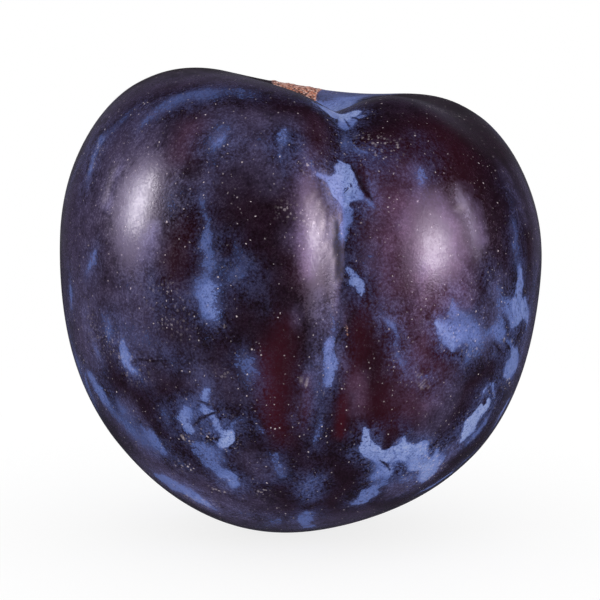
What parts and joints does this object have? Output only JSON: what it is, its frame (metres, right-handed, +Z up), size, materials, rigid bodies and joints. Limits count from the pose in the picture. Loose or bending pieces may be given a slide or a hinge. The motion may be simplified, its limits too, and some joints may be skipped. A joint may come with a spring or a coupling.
{
  "type": "plum",
  "caption": "Ripe dark plum: heart-shaped stone fruit with a stalk cavity, a corky stalk scar, a side suture and a small flat spot to rest on.",
  "frame": {"origin": "middle of the small flat spot under the tip, where the fruit rests", "axes": "+Z up, through the fruit from the tip to the stalk cavity; +X across the two cheeks, the widest way; -Y is the side that the suture faces, so +Y runs from the suture to the back"},
  "size_m": [0.0554, 0.052, 0.0534],
  "materials": {
    "plum_skin": "thin smooth dark purple fruit skin with a patchy blue-grey wax bloom, half rubbed off, and pale pin-point lenticels"
  },
  "bodies": {
    "root": {"plum": "plum_skin"}
  },
  "joints": []
}
